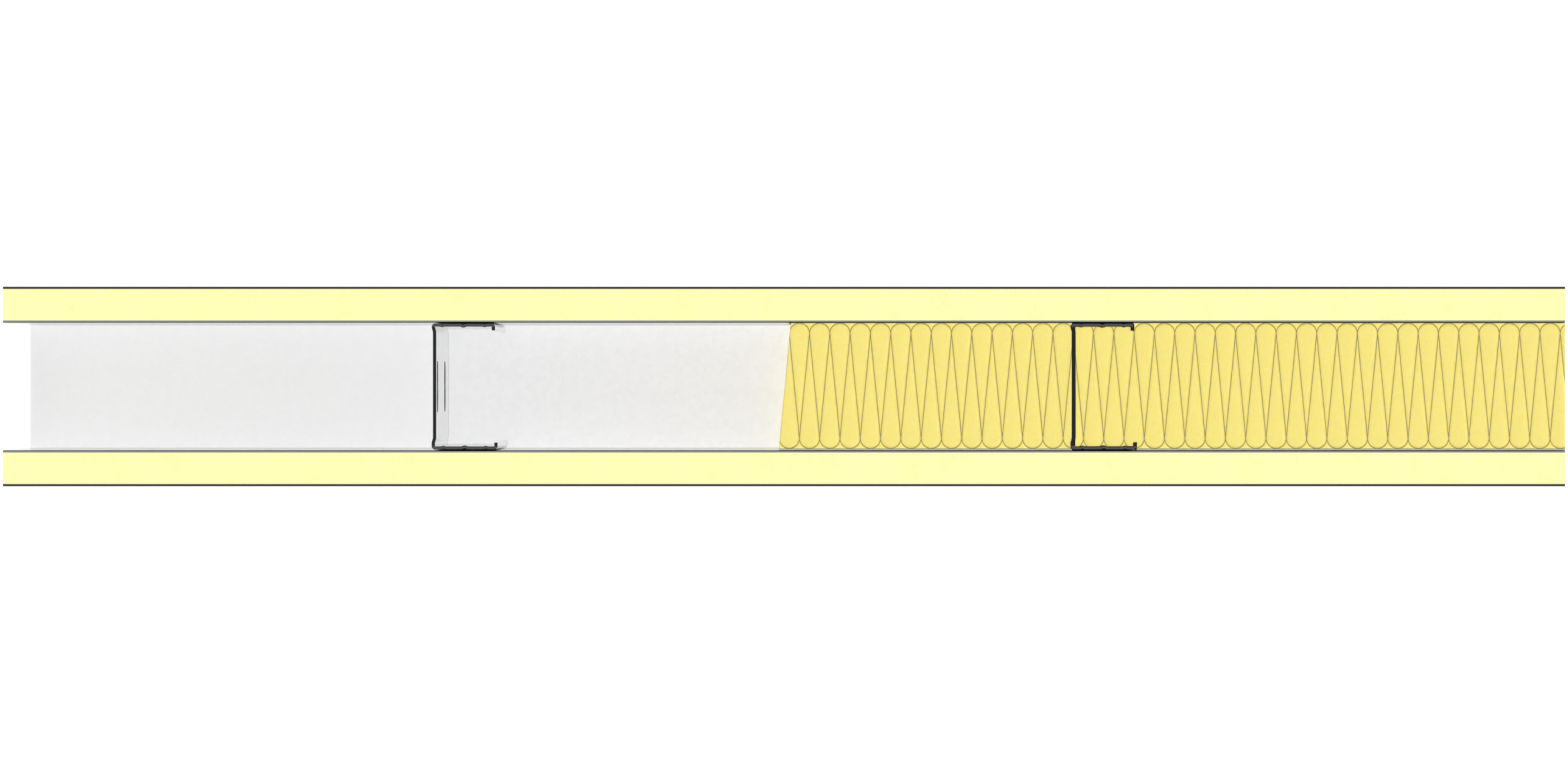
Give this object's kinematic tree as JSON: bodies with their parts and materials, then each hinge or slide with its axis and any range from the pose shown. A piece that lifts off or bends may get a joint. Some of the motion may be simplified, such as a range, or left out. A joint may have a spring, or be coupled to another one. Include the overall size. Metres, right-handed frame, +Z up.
{
  "type": "drywall partition wall",
  "caption": "Length of stud partition cut level to show boards with paper liners, C studs, floor track and pleated insulation filling one side of the cavity.",
  "frame": {"origin": "centre of the wall's footprint, on the floor under the track", "axes": "+X along the wall towards the insulated end, +Y through the wall towards the back board, which is the upper one in the picture, +Z up"},
  "size_m": [1.222, 0.156, 1],
  "materials": {
    "gypsum_core": "matte pale yellow gypsum",
    "paper_liner": "matte grey paper",
    "stud_steel": "galvanised, dark at the cut end",
    "track_steel": "bright galvanised",
    "mineral_wool": "matte yellow fibre, pleated"
  },
  "bodies": {
    "root": {"back_outer_liner": "paper_liner", "back_core": "gypsum_core", "back_inner_liner": "paper_liner", "front_inner_liner": "paper_liner", "front_core": "gypsum_core", "front_outer_liner": "paper_liner", "floor_track": "track_steel", "stud_1": "stud_steel", "stud_2": "stud_steel", "middle_batt": "mineral_wool", "end_batt": "mineral_wool"}
  },
  "joints": []
}
